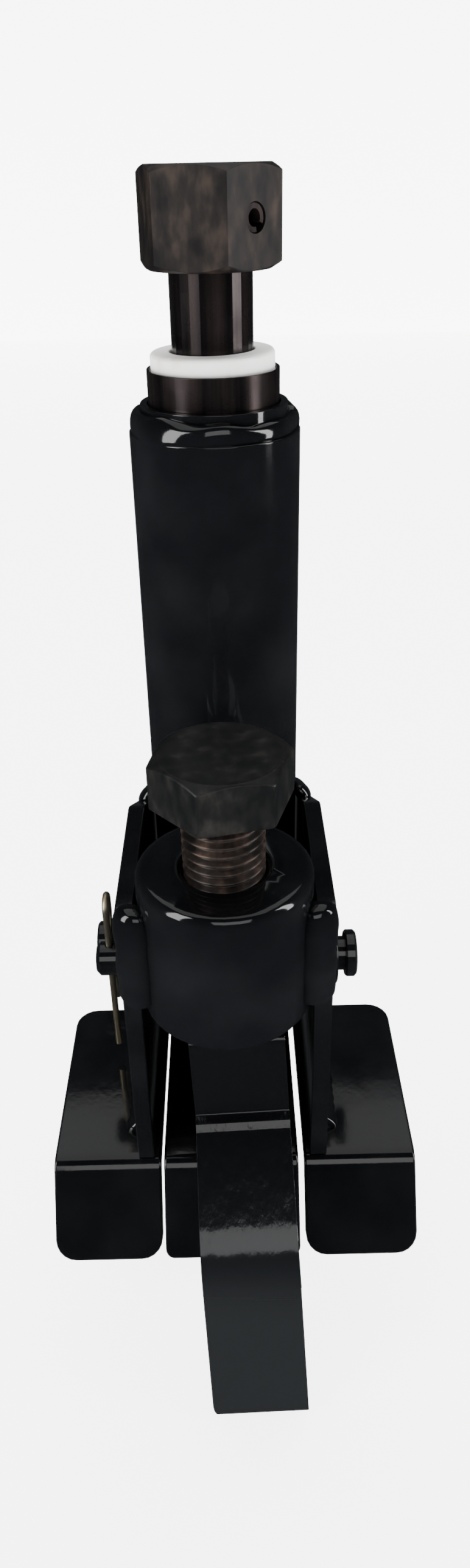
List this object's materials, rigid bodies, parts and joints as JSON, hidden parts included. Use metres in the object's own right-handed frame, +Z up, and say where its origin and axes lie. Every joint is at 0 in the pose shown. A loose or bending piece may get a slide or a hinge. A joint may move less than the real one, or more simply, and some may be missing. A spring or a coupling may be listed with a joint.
{
  "type": "telescopic press cylinder with clamping claw",
  "caption": "Upright screw-driven telescopic cylinder on bent feet, with a clamp bolt, a hooked claw on a cross pin and a ram that pushes a middle foot down.",
  "frame": {"origin": "where the tube's axis meets the plane of the side feet's undersides", "axes": "+Z up along the tube towards the hexagon, -Y to the front where the claw is, +X to the right"},
  "size_m": [0.1224, 0.1757, 0.3395],
  "materials": {
    "black_paint": "gloss black paint with drips and orange peel",
    "blackened_steel": "blackened, smooth",
    "rusted_oxide": "dark oxide with light rust at the edges",
    "white_nylon": "satin",
    "bronze": "machined",
    "bright_steel": "machined",
    "yellow_zinc": "yellow zinc plate"
  },
  "bodies": {
    "frame": {"outer_tube": "black_paint", "neck_ring": "black_paint", "shoulder_weld": "black_paint", "side_plate_left": "black_paint", "side_plate_right": "black_paint", "pin_collar_left": "black_paint", "pin_collar_right": "black_paint", "clamp_boss": "black_paint", "boss_weld_left": "black_paint", "boss_weld_right": "black_paint", "tube_weld_left": "black_paint", "tube_weld_right": "black_paint", "foot_left": "black_paint", "foot_right": "black_paint", "foot_weld_left": "black_paint", "foot_weld_right": "black_paint", "bearing_sleeve": "blackened_steel", "white_ring": "white_nylon", "guide_bush": "bronze"},
    "drive": {"drive_screw": "blackened_steel", "hex_cap": "rusted_oxide", "roll_pin": "blackened_steel", "snap_ring": "bright_steel", "thrust_washer_upper": "bronze", "thrust_washer_lower": "bright_steel", "stop_washer": "bright_steel", "stop_bolt": "bright_steel"},
    "ram": {"ram_tube": "bright_steel", "ram_nut": "bronze", "foot_socket": "black_paint", "socket_weld": "black_paint", "pusher_foot": "black_paint"},
    "shoe": {"bolt_shoe": "bright_steel"},
    "bolt": {"clamp_bolt": "rusted_oxide"},
    "claw": {"claw": "black_paint"},
    "claw_pin": {"claw_pin": "blackened_steel", "spacer_left": "bright_steel", "spacer_right": "bright_steel"},
    "claw_clip": {"claw_clip": "yellow_zinc"},
    "rear_pin": {"rear_pin": "blackened_steel"},
    "rear_clip": {"rear_clip": "yellow_zinc"}
  },
  "joints": [
    {"name": "drive_turn", "type": "hinge", "parent": "frame", "child": "drive", "pos_m": [0, 0, 0.27], "axis": [0, 0, 1], "range_deg": [0, 4320]},
    {"name": "ram_press", "type": "slide", "parent": "frame", "child": "ram", "axis": [0, 0, -1], "range_m": [0, 0.06]},
    {"name": "bolt_advance", "type": "slide", "parent": "frame", "child": "shoe", "axis": [0, 0, -1], "range_m": [-0.0069, 0.0055]},
    {"name": "bolt_turn", "type": "hinge", "parent": "shoe", "child": "bolt", "pos_m": [0, -0.0826, 0.1], "axis": [0, 0, -1], "range_deg": [-825, 655]},
    {"name": "claw_swing", "type": "hinge", "parent": "frame", "child": "claw", "pos_m": [0, -0.043, 0.053], "axis": [1, 0, 0], "range_deg": [-10, 8]},
    {"name": "claw_pin_turn", "type": "hinge", "parent": "frame", "child": "claw_pin", "pos_m": [0, -0.043, 0.053], "axis": [1, 0, 0], "range_deg": [-90, 90]},
    {"name": "claw_clip_pull", "type": "slide", "parent": "claw_pin", "child": "claw_clip", "axis": [0, 0, 1], "range_m": [0, 0.05]},
    {"name": "rear_pin_turn", "type": "hinge", "parent": "ram", "child": "rear_pin", "pos_m": [0, 0, 0.025], "axis": [1, 0, 0], "range_deg": [-15, 15]},
    {"name": "rear_clip_pull", "type": "slide", "parent": "rear_pin", "child": "rear_clip", "axis": [0, 0, 1], "range_m": [0, 0.05]}
  ],
  "couplings": [
    {"joint": "ram_press", "follows": "drive_turn", "m_per_rad": 0.00079577},
    {"joint": "bolt_advance", "follows": "bolt_turn", "m_per_rad": 0.00047746},
    {"joint": "claw_swing", "follows": "bolt_turn", "ratio": 0.011848}
  ]
}
